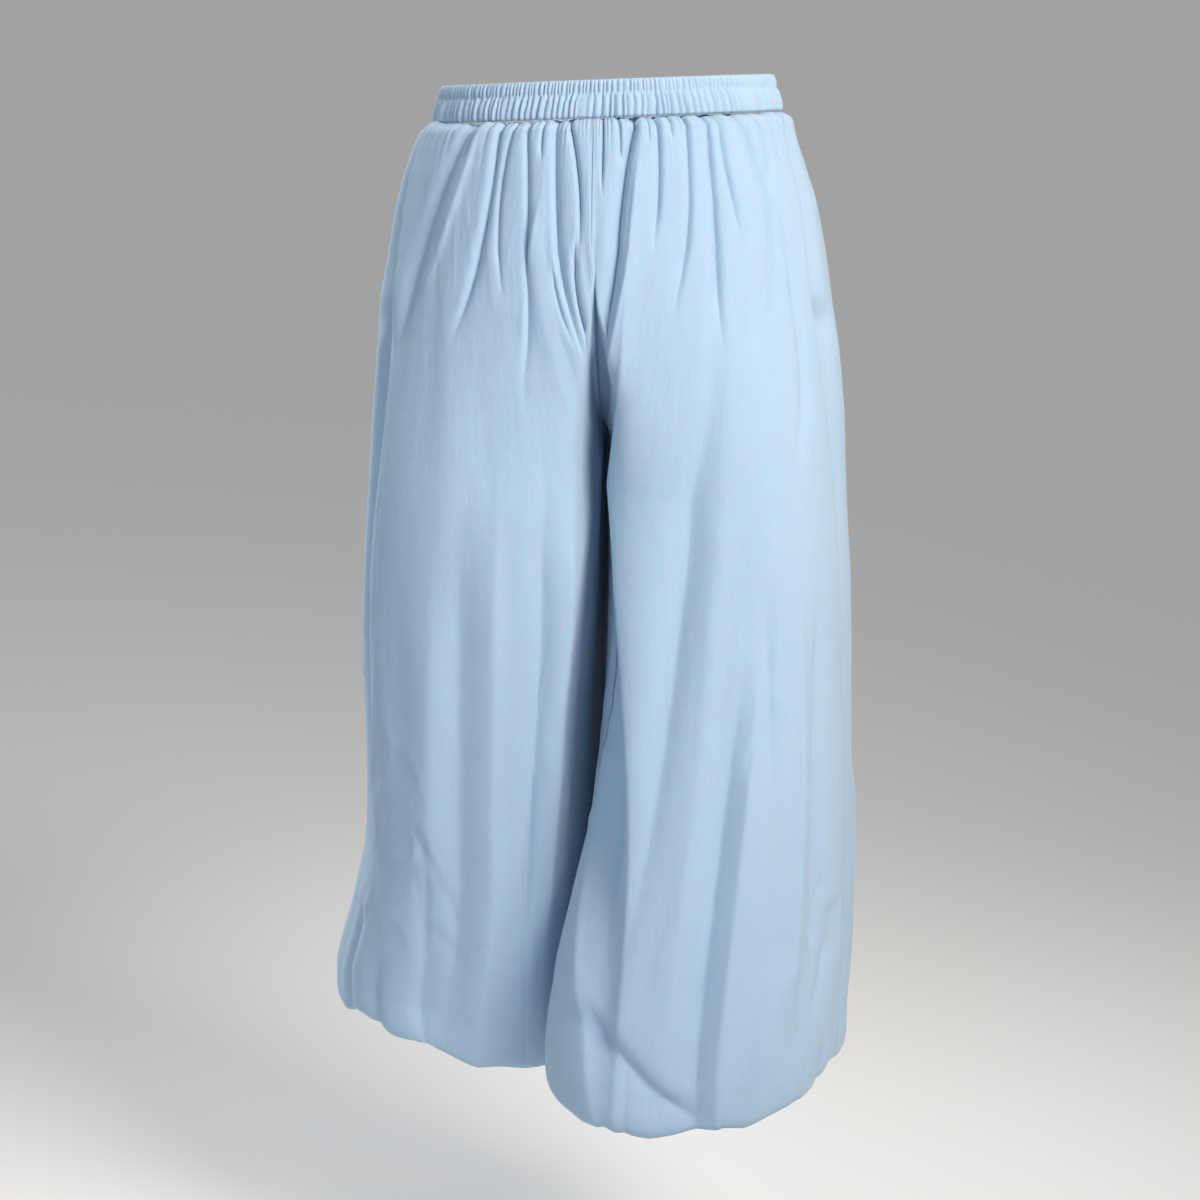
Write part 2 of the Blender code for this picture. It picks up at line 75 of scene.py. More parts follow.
azimuth = math.radians(CAMERA_AZIMUTH)
camera_data = bpy.data.cameras.new("camera")
camera_data.lens = CAMERA_LENS
camera_data.sensor_width = 36.0
camera = add_object("camera", camera_data)
camera.location = (CAMERA_DISTANCE * math.sin(azimuth), -CAMERA_DISTANCE * math.cos(azimuth), 0.0)
camera.rotation_euler = (math.radians(90.0 - CAMERA_PITCH), 0.0, azimuth + math.radians(CAMERA_TURN))
bpy.context.scene.camera = camera
bpy.context.scene.view_settings.view_transform = "Standard"
print("camera at", [round(value, 3) for value in camera.location])

# %% Floor and lights
FLOOR_HEIGHT = -1.06        # the waist of a standing figure is about this far above the ground
FAR_FLOOR_GREY = 0.36       # where the floor meets the sky
SKY_GREY = 0.49
FLOOR_GREY = 0.80
FLOOR_RADIUS = 150.0
MIDDLE = (0.0, 0.0, -0.42)  # of the garment


def plain_finish(name, colour, roughness):
    """A plain material of one colour."""
    material = bpy.data.materials.new(name)
    material.use_nodes = True
    shader = material.node_tree.nodes["Principled BSDF"]
    shader.inputs["Base Color"].default_value = (*colour, 1.0)
    shader.inputs["Roughness"].default_value = roughness
    return material


def add_lamp(name, place, target, size, power, colour, spread):
    """A soft square lamp that looks at a target, through a grid that keeps its light within a cone."""
    data = bpy.data.lights.new(name, "AREA")
    data.shape = "SQUARE"
    data.size = size
    data.energy = power
    data.color = colour
    data.spread = math.radians(spread)
    lamp = add_object(name, data)
    lamp.location = place
    lamp.rotation_euler = (Vector(target) - Vector(place)).to_track_quat("-Z", "Y").to_euler()


world = bpy.data.worlds.new("studio")
world.use_nodes = True
sky = world.node_tree.nodes["Background"]
sky.inputs["Strength"].default_value = 1.0
direction = world.node_tree.nodes.new("ShaderNodeTexCoord")
height = world.node_tree.nodes.new("ShaderNodeSeparateXYZ")
fade = world.node_tree.nodes.new("ShaderNodeMapRange")
fade.inputs["To Min"].default_value = FAR_FLOOR_GREY
fade.inputs["To Max"].default_value = SKY_GREY
world.node_tree.links.new(direction.outputs["Generated"], height.inputs["Vector"])
world.node_tree.links.new(height.outputs["Z"], fade.inputs["Value"])
world.node_tree.links.new(fade.outputs["Result"], sky.inputs["Color"])
bpy.context.scene.world = world

# place, target, size in metres, power in watts, colour and spread in degrees
add_lamp("key", (-1.60, 1.80, 1.15), (0.0, 0.0, -0.12), 1.2, 11.8, (1.10, 1.0, 0.90), 60.0)
add_lamp("fill", (0.9, 2.7, 0.1), MIDDLE, 1.6, 1.8, (0.66, 0.92, 1.24), 60.0)
add_lamp("front", (1.7, -2.1, 1.0), MIDDLE, 1.3, 7.0, (1.0, 1.0, 1.0), 50.0)

floor_data = bpy.data.meshes.new("floor")
build = bmesh.new()
bmesh.ops.create_circle(build, cap_ends=True, segments=96, radius=FLOOR_RADIUS)
build.to_mesh(floor_data)
build.free()
floor_data.transform(Matrix.Translation((0.0, 0.0, FLOOR_HEIGHT)))
floor_data.materials.append(plain_finish("floor", (FLOOR_GREY, FLOOR_GREY, FLOOR_GREY), 0.9))
floor = add_object("floor", floor_data)

# %% [markdown]
# ## The garment's form
#
# A panel of cloth is a net of rows and columns. A row is a level line round the body, from the centre
# seam or inseam (0) to the side seam (1). A column runs from the waist seam down the leg and round
# under the hem. A short table gives the widths and depths at a few heights, and a smooth curve runs
# through its rows. Above the crotch a row is part of one oval. Below it the row bends round until the
# leg is a ring of its own.

# %% Sizes
WAIST_TILT = math.radians(2.1)   # the waist is higher on the right
TILT_ENDS = 0.20                 # depth under the waist where the tilt has died out
SEAT_STARTS = -0.10              # height where the centre seams start to curve under
CROTCH = -0.272
CROTCH_COURSE = -0.320           # height at the side seam of the row that meets the crotch point
LEG_WHOLE = -0.38                # height where each leg is a ring of its own
SEAM_REACH = 0.06                # share of a panel that is drawn in to the centre seam
COURSE_REACH = 0.50              # share of a panel over which a row bends to meet that seam
SEAM_CROWD = 0.35                # how much closer the net's columns stand at the centre seam
WAIST_SEAM = -0.0138
HEM_ROW = -0.785
STRIDE = 0.065                   # how far each foot is behind or before the middle
# a leg's ring is squarer on the inside: powers of its two halves, 2 is an ellipse
INNER_POWER = {"left": 3.6, "right": 3.2}
OUTER_POWER = 2.3
# the upright cloth beside the centre seam: how far it leans, and how softly it meets the oval
CLEFT_LEAN = {"left": 0.004, "right": 0.020}
CLEFT_ROUND = 0.008
ROW_END = -1.4                   # angle round the leg where a row stops, well past the side seam
# the upright plane between the legs, at the hem: its slope and shift in x
PARTING_LEAN = 0.5
PARTING_SHIFT = 0.005
PRESS_DEPTH = 0.02               # how far from it a leg starts to flatten
LEG_GAP = 0.001                  # from it to each leg
SIDES = {"left": 1.0, "right": -1.0}
FACES = {"back": 1.0, "front": -1.0}

SECTION_NAMES = ("z", "left", "right", "back", "front", "left_in", "right_in", "seam")
SECTIONS = np.array((
    # height, left, right, back, front, inner edges, side seam behind the widest point, all in mm
    ( -14, 147.0, 146.0, 111, 108,   0,   0, 34),
    ( -21, 156.5, 155.0, 117, 112,   0,   0, 36),
    ( -34, 163.0, 159.0, 121, 114,   0,   0, 38),
    ( -55, 170.5, 166.0, 126, 117,   0,   0, 42),
    ( -85, 178.0, 176.0, 132, 121,   0,   0, 46),
    (-125, 185.5, 184.5, 139, 125,   0,   0, 52),
    (-165, 192.0, 191.0, 144, 129,   0,   0, 57),
    (-205, 195.0, 197.0, 147, 132,   0,   0, 60),
    (-260, 198.5, 202.0, 149, 135,   0,   0, 62),
    (-320, 202.0, 204.5, 149, 136,   0,   0, 62),
    (-400, 208.5, 209.0, 148, 137,  -4,  -4, 62),
    (-490, 212.0, 210.0, 147, 138,  -4,  -6, 60),
    (-580, 213.5, 211.0, 146, 138,  -2, -12, 58),
    (-660, 217.0, 211.5, 145, 138,  -5, -24, 56),
    (-730, 231.0, 211.0, 144, 138,  -8, -37, 54),
    (-785, 247.5, 208.5, 143, 137, -10, -43, 52),
)) / 1000.0
# the way down the cloth and round under the hem: height, and distance inside the widest ring
COURSES = (
    (WAIST_SEAM, 0.0), (-0.021, 0.0), (-0.034, 0.0), (-0.055, 0.0), (-0.085, 0.0), (-0.120, 0.0),
    (-0.155, 0.0), (-0.180, 0.0), (-0.208, 0.0), (-0.236, 0.0), (-0.264, 0.0), (-0.292, 0.0),
    (CROTCH_COURSE, 0.0), (-0.355, 0.0), (-0.400, 0.0), (-0.440, 0.0), (-0.490, 0.0), (-0.580, 0.0),
    (-0.660, 0.0), (-0.730, 0.0), (HEM_ROW, 0.0), (-0.8090, 0.0004), (-0.8188, 0.0038),
    (-0.8182, 0.0120), (-0.8010, 0.0190), (-0.7720, 0.0190),
)
# how far the hem rises or dips: at the inseam, the middle of the panel and the side seam
HEM_LIFT = {
    "back_left": (0.000, -0.006, 0.032),
    "back_right": (0.011, -0.012, 0.019),
    "front_left": (0.000, -0.002, 0.032),
    "front_right": (0.011, -0.004, 0.019),
}
# and the small steps in that line, where folds run into it: share of the panel's width, further rise
HEM_FACETS = {
    "back_left": ((0.0, 0.0), (0.55, 0.0), (0.65, 0.0034), (0.70, 0.006), (0.75, 0.003), (0.80, 0.0034),
                  (0.85, 0.006), (0.90, -0.0017), (0.95, -0.010), (1.0, -0.011)),
    "back_right": ((0.0, 0.0), (0.35, 0.0), (0.40, 0.005), (0.45, 0.0034), (0.50, -0.001),
                   (0.60, 0.0017), (0.65, 0.004), (0.70, -0.0025), (0.85, -0.0025), (0.90, 0.0),
                   (0.95, 0.0085), (1.0, 0.007)),
    "front_left": ((0.0, 0.0), (0.30, 0.003), (0.38, -0.002), (0.55, 0.004), (0.62, -0.002),
                   (0.80, 0.003), (0.86, -0.004), (1.0, -0.011)),
    "front_right": ((0.0, 0.0), (0.25, 0.003), (0.33, -0.002), (0.50, 0.004), (0.60, -0.002),
                    (0.75, 0.003), (0.85, -0.003), (0.95, 0.008), (1.0, 0.007)),
}
MOUTH_END = -0.180               # the pocket mouths are open from the waist seam down to here
MOUTH_TUCK = 0.008               # how far the front edge lies behind the back edge
MOUTH_LAP = 0.045                # how far it goes round past it, as a share of the panel's width
MOUTH_LIP = 0.0015               # how far the back edge stands out along the mouth
# how deep a hollow the side seam lies in: height, depth
SIDE_HOLLOW = {
    "left": ((-0.012, 0.0), (-0.030, 0.016), (-0.080, 0.020), (-0.150, 0.014), (-0.300, 0.009),
             (-0.550, 0.006), (-0.720, 0.0)),
    "right": ((-0.012, 0.0), (-0.050, 0.006), (-0.120, 0.011), (-0.220, 0.016), (-0.300, 0.013),
              (-0.430, 0.004), (-0.520, 0.0)),
}
# and how wide it is on each panel, as a share of the panel's width
SIDE_HOLLOW_WIDTH = {
    "back_left": 0.026,
    "front_left": 0.020,
    "back_right": 0.018,
    "front_right": 0.036,
}
print("rows in the table of sections:", len(SECTIONS))


# %% Helpers for smooth curves
def smooth_step(low, high, value):
    """0 below low, 1 above high, and a soft S between them."""
    share = np.clip((value - low) / (high - low), 0.0, 1.0)
    return share * share * (3.0 - 2.0 * share)


def along_table(table, place):
    """A smooth curve through a table's rows, read at places between them."""
    table = np.asarray(table, float)
    last = len(table) - 1
    place = np.clip(np.atleast_1d(place), 0.0, last)
    index = np.minimum(place.astype(int), last - 1)
    share = (place - index)[:, None]
    before, start, end, after = (table[np.clip(index + step, 0, last)] for step in (-1, 0, 1, 2))
    slope_in = (end - before) / 2.0
    slope_out = (after - start) / 2.0
    rest = 3.0 * (end - start) - 2.0 * slope_in - slope_out
    bend = 2.0 * (start - end) + slope_in + slope_out
    return start + share * (slope_in + share * (rest + share * bend))


def section_at(z):
    """The widths and depths at one height, by name."""
    place = np.interp(-z, -SECTIONS[:, 0], np.arange(len(SECTIONS)))
    return dict(zip(SECTION_NAMES, along_table(SECTIONS, place)[0]))


def below_crotch(z):
    """0 at the row that meets the crotch and above, 1 at the hem."""
    return np.clip((CROTCH_COURSE - z) / (CROTCH_COURSE - HEM_ROW), 0.0, 1.0)


def seam_turn(z):
    """How far a row's end has gone round the curve of the centre seam, from 0 to a right angle."""
    return math.pi / 2.0 * np.clip((SEAT_STARTS - z) / (SEAT_STARTS - CROTCH_COURSE), 0.0, 1.0)


print("hip, from side to side: %.3f m" % (section_at(-0.26)["left"] + section_at(-0.26)["right"]))


# %% One row of a panel
ROW_STEPS = 400


def trunk_radius(angle, middle, outer, depth, lean, soft):
    """Distance from a leg's middle to the trunk's oval, or to the cloth beside the centre seam."""
    across, along = np.cos(angle), np.sin(angle)
    square = (across / outer) ** 2 + (along / depth) ** 2
    slope = middle * across / outer ** 2
    oval = (-slope + np.sqrt(slope * slope - square * ((middle / outer) ** 2 - 1.0))) / square
    towards = lean / depth * np.abs(along) - across
    wall = np.where(towards > 1e-9, middle / np.maximum(towards, 1e-9), 1e3)
    nearer = np.minimum(oval, wall)
    if soft < 1e-6:
        return nearer
    return nearer - np.where(wall < 1e3, soft * np.log1p(np.exp(-np.abs(oval - wall) / soft)), 0.0)


def leg_radius(angle, half_width, depth, side):
    """Distance from a leg's middle to its own rounded ring."""
    across, along = np.cos(angle), np.sin(angle)
    power = OUTER_POWER + (INNER_POWER[side] - OUTER_POWER) * smooth_step(-0.2, 0.5, -across)
    total = np.abs(across / half_width) ** power + np.abs(along / depth) ** power
    return total ** (-1.0 / power)


def row_outline(side, face, z):
    """A row as fine points, and the share of the panel's width at each, 1 at the side seam."""
    section = section_at(z)
    outer, inner, depth = section[side], section[side + "_in"], section[face]
    behind = section["front" if face == "back" else "back"]
    middle, half = (outer + inner) / 2.0, (outer - inner) / 2.0
    whole = smooth_step(-SEAT_STARTS, -LEG_WHOLE, -z)
    recess = math.cos(seam_turn(z))
    cleft = smooth_step(0.0, 0.5, 1.0 - recess)
    angle = np.linspace(math.atan2(depth * recess, -middle), ROW_END, ROW_STEPS + 1)
    reach = np.where(angle > 0.0, depth, behind)
    trunk = trunk_radius(angle, middle, outer, reach, CLEFT_LEAN[side] * cleft, CLEFT_ROUND * cleft)
    radius = (1.0 - whole) * trunk + whole * leg_radius(angle, half, reach, side)
    x, y = middle + radius * np.cos(angle), radius * np.sin(angle)
    lengths = np.concatenate([[0.0], np.cumsum(np.hypot(np.diff(x), np.diff(y)))])
    seam = section["seam"] * FACES[face]
    past = int(np.argmax((x > middle) & (y <= seam)))
    share = (y[past - 1] - seam) / (y[past - 1] - y[past])
    width = lengths[past - 1] + share * (lengths[past] - lengths[past - 1])
    crowd = 1.0 / (1.0 + SEAM_CROWD * recess)
    return x, y, (lengths / width) ** crowd


print("points along one row:", len(row_outline("left", "back", -0.3)[0]))


# %% The plain net of a panel
def press_legs(side, x, y, z):
    """Flattens a leg softly where it would pass through the upright plane between the legs."""
    down = below_crotch(z)
    lean, shift = PARTING_LEAN * down, PARTING_SHIFT * down
    length = np.hypot(1.0, lean)
    away = SIDES[side] * ((x - shift) - y * lean) / length
    reach = PRESS_DEPTH * smooth_step(0.0, 0.4, down) + 1e-4
    kept = reach * np.exp(np.minimum(0.0, (away - reach) / reach)) + LEG_GAP * smooth_step(0.0, 0.2, down)
    move = np.where((away < reach) & (down > 0.0), SIDES[side] * (kept - away), 0.0)
    return x + move / length, y - move * lean / length


def hem_lift(panel, across, z):
    """How far the hem rises or dips across a panel."""
    inner, middle, outer = HEM_LIFT[panel]
    lift = np.where(across < 0.5,
                    inner + (middle - inner) * smooth_step(0.0, 0.5, across),
                    middle + (outer - middle) * smooth_step(0.5, 1.0, across))
    facets = np.interp(across, *zip(*HEM_FACETS[panel])) * smooth_step(0.85, 1.0, below_crotch(z))
    return lift * smooth_step(0.4, 1.0, below_crotch(z)) + facets


def course_bend(across, z):
    """How far a row rises or dips towards the centre seam, whose curve it meets."""
    seam_height = SEAT_STARTS - (SEAT_STARTS - CROTCH) * np.sin(seam_turn(z))
    bend = (seam_height - np.maximum(z, CROTCH_COURSE)) * (1.0 - smooth_step(0.0, 0.35, below_crotch(z)))
    return np.where(z > SEAT_STARTS, 0.0, bend * (1.0 - smooth_step(0.0, COURSE_REACH, across)))


def plain_net(side, face, across, place):
    """Points and outward directions of a panel's plain form. across has a row for each place."""
    height, inset = along_table(COURSES, place).T
    z = height[:, None] * np.ones_like(across)
    x, y = np.empty_like(across), np.empty_like(across)
    for row, level in enumerate(height):
        line_x, line_y, shares = row_outline(side, face, level)
        x[row] = np.interp(across[row], shares, line_x)
        y[row] = np.interp(across[row], shares, line_y)
        if level > CROTCH_COURSE:
            x[row] -= line_x[0] * (1.0 - smooth_step(0.0, SEAM_REACH, across[row]))
    x, y = SIDES[side] * x, FACES[face] * y - SIDES[side] * STRIDE * below_crotch(z) ** 1.3
    tangent_x, tangent_y = np.gradient(x, axis=1), np.gradient(y, axis=1)
    length = np.hypot(tangent_x, tangent_y)
    turn = SIDES[side] * FACES[face] * inset[:, None]
    x, y = x + turn * tangent_y / length, y - turn * tangent_x / length
    x, y = press_legs(side, x, y, z)
    tilt = -x * math.tan(WAIST_TILT) * (1.0 - smooth_step(0.0, TILT_ENDS, -z))
    risen = z + tilt + course_bend(across, z) + hem_lift(f"{face}_{side}", across, z)
    points = np.stack([x, y, risen], axis=-1)
    outward = np.cross(np.gradient(points, axis=1), np.gradient(points, axis=0))
    outward *= SIDES[side] * FACES[face] / np.linalg.norm(outward, axis=2, keepdims=True)
    return points, outward, z


# %% [markdown]
# ## Folds placed one by one
#
# Cloth that is gathered into a band hangs in troughs that fan out and die away at different lengths.
# Each fold is one row of a table: where it starts and ends down the cloth, the three places across
# the panel that its line runs through, its half-width towards the inseam and towards the side seam,
# and its height, which is negative for a trough. Unequal half-widths make one flank steeper.
# `edge` pinches the line itself, from 0 for a soft hollow to 1 for a crisp crease.

# %% Table of folds
Fold = namedtuple("Fold", "top bottom start middle end inner outer height edge")
FOLD_UNITS = np.array([1000.0] * 7 + [10000.0, 1.0])
# heights in the garment in mm, places across and half-widths in thousandths of the panel's width,
# and the fold's own height in tenths of a mm
FOLD_TABLE = {
    "back_left": (
        # from  to  top mid end  in   out  height edge
        ( -10, -210, 700, 835, 895,  40,  26,  -55, 0.5),
        ( -10, -150, 640, 700, 800,  12,  40,   30, 0.7),
        ( -10,  -45, 655, 680, 700,   9,   9,  -26, 0.6),
        ( -10, -185, 568, 572, 665,  22,   9,  -72, 0.9),
        ( -10, -150, 492, 515, 488,  15,   9,  -50, 0.8),
        ( -10, -225, 438, 385, 440,  16,  11,  -52, 0.7),
        ( -10,  -45, 350, 348, 340,   9,   9,  -36, 0.7),
        ( -10, -195, 290, 250, 195,  28,  12,  -70, 0.8),
        ( -70, -195, 325, 380, 430,  20,  12,   32, 0.9),
        ( -10, -112, 225, 140, 122,  18,  10,  -72, 0.8),
        ( -98, -205, 128, 166, 128,  16,  10,  -66, 0.9),
        (-125, -185, 270, 262, 225,  12,  10,  -36, 0.8),
        ( -12, -120,  50,  36,  30,  10,  10,  -20, 0.8),
        ( -12, -200, 965, 948, 935,  50,   7,   42, 0.9),
        (-160, -650, 942, 858, 972,  55,   8,   40, 0.9),
        (-160, -680, 965, 888, 1000,  14,  60,  -75, 0.5),
        (-280, -860, 628, 628, 622,  40,  45,  -62, 0.4),
        (-260, -860, 548, 548, 556,  24,  45,   54, 0.5),
        (-260, -760, 440, 445, 500,  24,  30,  -66, 0.5),
        (-280, -700, 365, 385, 400,  30,  30,   72, 0.6),
        (-300, -800, 190, 215, 190, 120, 130,   50, 0.0),
        (-380, -720, 690, 695, 690,  35,  40,   36, 0.4),
        (-600, -860, 712, 695, 660,  35,  20,  -45, 0.6),
        (-590, -705, 760, 682, 618,  10,  14,  -14, 0.9),
        (-640, -730, 735, 720, 700,  10,  12,  -12, 0.9),
        (-700, -728, 695, 645, 598,  12,  12,  -14, 0.9),
        (-740, -860, 800, 795, 795,  16,  22,  -42, 0.6),
        (-700, -860, 915, 905, 900,  30,  14,  -50, 0.6),
    ),
    "back_right": (
        ( -10,  -68,  78,  82,  74,  13,  11,  -70, 0.7),
        ( -10,  -50, 190, 196, 200,  12,  10,  -50, 0.7),
        ( -10, -200, 300, 190, 200,  40,  14, -105, 0.6),
        ( -20, -240, 325, 228, 245,  12,  50,   42, 0.9),
        (-100, -870, 215, 395, 425,  22, 110,  120, 0.7),
        (-230, -680, 240, 328, 372, 170,  30, -250, 0.7),
        (-590, -870, 200, 335, 400,  60,  30,   62, 0.9),
        ( -10,  -36, 350, 348, 345,   9,   9,  -34, 0.7),
        ( -10, -110, 385, 388, 350,  16,  10,  -58, 0.8),
        ( -10,  -32, 455, 450, 450,   9,   9,  -30, 0.7),
        ( -10, -160, 527, 505, 452,  18,  10,  -52, 0.8),
        ( -10, -190, 622, 607, 616,  18,  10,  -62, 0.8),
        ( -10, -110, 662, 672, 695,  14,  10,  -44, 0.7),
        ( -10, -190, 742, 815, 725,  18,  20,  -46, 0.6),
        ( -10,  -70, 815, 858, 835,  12,  13,  -34, 0.6),
        ( -10,  -50, 905, 915, 920,  12,  12,  -30, 0.6),
        ( -70, -300, 850, 885, 800,  22,  20,  -40, 0.5),
        (-200, -760, 575, 495, 400,  45,  30,  -62, 0.5),
        (-300, -780, 612, 560, 520,  40,  40,   46, 0.4),
        (-420, -870, 672, 605, 605,  50,  20,  -52, 0.6),
        (-420, -870, 702, 652, 640,  22,  60,   72, 0.9),
        (-495, -540, 700, 676, 668,  10,  10,  -26, 0.8),
        (-380, -560, 714, 716, 722,  22,  14,  -30, 0.5),
        (-360, -760, 795, 803, 800,  20,  14,   40, 0.9),
        (-380, -720, 860, 850, 862,  14,  30,  -56, 0.6),
        (-718, -812, 325, 465, 600, 110,  22,  -95, 0.9),
        (-755, -850, 450, 450, 447,  10,  10,  -16, 0.8),
        (-660, -720, 945, 942, 940,  50,  40,  -45, 0.3),
        (-690, -790, 780, 745, 715,  40,  50,   44, 0.5),
        (-630, -700, 905, 870, 850,  12,  16,  -34, 0.9),
        (-700, -790, 835, 820, 850,  30,  16,  -44, 0.8),
        (-690, -760, 930, 890, 860,  14,  20,  -38, 0.9),
        (-770, -870, 900, 905, 905,  20,  14,  -40, 0.7),
    ),
    "front_left": (
        ( -10,  -60,  80,  80,  80,  16,  16,  -68, 0.8),
        ( -10, -240, 170, 110, 130,  24,  18,  -88, 0.8),
        ( -10, -400, 290, 280, 370,  24,  26,  -68, 0.6),
        ( -10,  -45, 360, 355, 350,  12,  12,  -41, 0.8),
        ( -10, -180, 430, 410, 440,  18,  18,  -65, 0.8),
        ( -10, -110, 520, 505, 500,  16,  18,  -57, 0.7),
        ( -10, -250, 610, 640, 660,  20,  22,  -61, 0.7),
        ( -10,  -80, 700, 720, 730,  16,  18,  -51, 0.7),
        ( -10, -160, 790, 830, 850,  22,  24,  -49, 0.6),
        (-120, -850, 480, 520, 550,  50,  45,  -65, 0.5),
        (-400, -850, 680, 700, 720,  45,  40,   65, 0.7),
        (-350, -850, 260, 230, 200,  55,  50,   59, 0.5),
        (-500, -830, 840, 830, 820,  40,  30,  -52, 0.6),
        (-640, -740, 420, 370, 330,  14,  18,  -31, 0.9),
        (-720, -860, 620, 600, 580,  18,  24,  -52, 0.8),
    ),
    "front_right": (
        ( -10,  -70,  90,  85,  80,  16,  16,  -74, 0.8),
        ( -10, -270, 200, 130, 150,  26,  20,  -95, 0.8),
        ( -10, -350, 310, 320, 390,  22,  26,  -65, 0.6),
        ( -10,  -90, 390, 380, 370,  14,  14,  -54, 0.8),
        ( -10, -170, 480, 470, 450,  18,  18,  -61, 0.7),
        ( -10, -140, 570, 545, 530,  18,  20,  -65, 0.8),
        ( -10,  -70, 650, 655, 660,  14,  16,  -49, 0.7),
        ( -10, -210, 740, 770, 760,  22,  24,  -57, 0.6),
        ( -10, -100, 830, 850, 860,  18,  20,  -46, 0.6),
        (-160, -850, 440, 480, 460,  50,  50,   72, 0.6),
        (-200, -850, 620, 600, 580,  50,  40,  -65, 0.5),
        (-450, -850, 230, 210, 230,  50,  50,  -52, 0.3),
        (-520, -830, 800, 810, 830,  40,  35,   59, 0.7),
        (-600, -700, 360, 320, 290,  14,  18,  -31, 0.9),
        (-700, -860, 700, 690, 670,  18,  24,  -49, 0.8),
    ),
}
FOLDS = {}
for panel, rows in FOLD_TABLE.items():
    FOLDS[panel] = [Fold(*(np.array(row) / FOLD_UNITS)) for row in rows]
    print("folds placed by hand on", panel, len(rows))

# %% Heights of the folds
FOLD_FADE = 0.10                 # share of a fold's length over which it fades at each end


def fold_heights(panel, across, z):
    """Height of all the folds of a panel at each point of its net."""
    total = np.zeros_like(across)
    for fold in FOLDS[panel]:
        share = (fold.top - z) / (fold.top - fold.bottom)
        along = np.clip(share, 0.0, 1.0)
        bow = fold.middle - (fold.start + fold.end) / 2.0
        line = fold.start + (fold.end - fold.start) * along + 4.0 * bow * along * (1.0 - along)
        sewn = fold.top > -0.02
        fade = smooth_step(-0.03, 0.03, share) if sewn else smooth_step(0.0, 3.0 * FOLD_FADE, share)
        fade = fade * smooth_step(-FOLD_FADE, 3.0 * FOLD_FADE, 1.0 - share)
        away = across - line
        reach = np.where(away < 0.0, fold.inner, fold.outer)
        total += fold.height * fade * np.exp(-np.abs(away / reach) ** (2.0 - 0.9 * fold.edge))
    return total


print("deepest fold in mm:", 1000.0 * min(fold.height for rows in FOLDS.values() for fold in rows))

# %% [markdown]
# ## Small puckers and the crumple of worn cotton
#
# Right under the waist seam the cloth is bunched finer than the folds below it. Those puckers are a wave
# of uneven period that dies out within a centimetre or two. Worn poplin also has a faint crumple all
# over: a few layers of smooth random hills, longer down the leg than across it. The same recipe with
# the same seed gives the same cloth each time.

# %% Smooth random hills
HILL_GRID = 96                   # hills along each side of the random grid, which then repeats


def hills(u, v, seed, step_u, step_v):
    """Smooth random heights from -1 to 1, with a hill about every step_u by step_v metres."""
    chance = np.random.default_rng(seed)
    grid = chance.uniform(-1.0, 1.0, (HILL_GRID, HILL_GRID))
    column, row = u / step_u, v / step_v
    i, j = np.floor(column).astype(int), np.floor(row).astype(int)
    a, b = column - i, row - j
    a, b = a * a * (3.0 - 2.0 * a), b * b * (3.0 - 2.0 * b)
    i, j = i % (HILL_GRID - 1), j % (HILL_GRID - 1)
    near = grid[i, j] * (1.0 - a) + grid[i + 1, j] * a
    far = grid[i, j + 1] * (1.0 - a) + grid[i + 1, j + 1] * a
    return near * (1.0 - b) + far * b


def uneven_wave(u, seed, waves, spread):
    """Phase of a wave with about so many periods from 0 to 1, each of its own width."""
    chance = np.random.default_rng(seed)
    widths = chance.uniform(1.0 - spread, 1.0 + spread, waves)
    edges = np.concatenate([[0.0], np.cumsum(widths)]) / widths.sum()
    return np.interp(u, edges, np.arange(waves + 1))


print("halfway along an uneven wave of 4:", round(float(uneven_wave(0.5, 1, 4, 0.4)), 2))

# %% The finished surface of a panel
PUCKERS = 27                     # along the waist seam of each panel
PUCKER_HEIGHT = 0.0024
CRUMPLE_BROAD, CRUMPLE_MIDDLE, CRUMPLE_CREASED = 0.0018, 0.0008, 0.0014
TOP_TUCK = 0.0044                # how far the top row lies in under the band
TOP_TUCK_REACH = 0.0013
SEAM_DIP = 0.0008                # depth of the dent along a seam
SEAM_DIP_WIDTH = 0.006           # as a share of the panel's width
PANEL_SEED = {"back_left": 11, "back_right": 23, "front_left": 37, "front_right": 41}
CUT_WIDTH, CUT_LENGTH = 0.46, 0.93


def pucker_heights(panel, across, z):
    """The fine gathers just below the waist seam, sharp between rounded tops."""
    seed = PANEL_SEED[panel]
    phase = uneven_wave(across, seed, PUCKERS, 0.45)
    number = np.floor(phase).astype(int)
    chance = np.random.default_rng(seed + 1)
    reach = chance.uniform(0.004, 0.020, PUCKERS + 2)[number]
    size = chance.uniform(0.5, 1.25, PUCKERS + 2)[number]
    top = np.abs(np.sin(math.pi * phase)) ** 0.7 - 0.6
    return PUCKER_HEIGHT * size * top * np.exp(-(WAIST_SEAM - z) / reach)


def crumple_heights(panel, across, down):
    """The faint unevenness of worn cotton."""
    u, v = across * CUT_WIDTH, down
    seed = PANEL_SEED[panel]
    broad = CRUMPLE_BROAD * hills(u, v, seed + 2, 0.050, 0.30)
    middle = CRUMPLE_MIDDLE * hills(u + 0.1 * v, v, seed + 3, 0.024, 0.16)
    creased = 1.0 - np.abs(hills(u + 0.3 * v, v, seed + 4, 0.030, 0.055))
    crossed = 1.0 - np.abs(hills(u - 0.5 * v, v, seed + 5, 0.022, 0.050))
    patches = smooth_step(0.0, 0.7, hills(u, v, seed + 6, 0.090, 0.110))
    lines = creased ** 4 + 0.7 * crossed ** 4
    crushed = CRUMPLE_CREASED * patches * lines * (0.3 + 0.7 * smooth_step(0.25, 0.60, down))
    return (broad + middle + crushed) * smooth_step(0.01, 0.10, down)


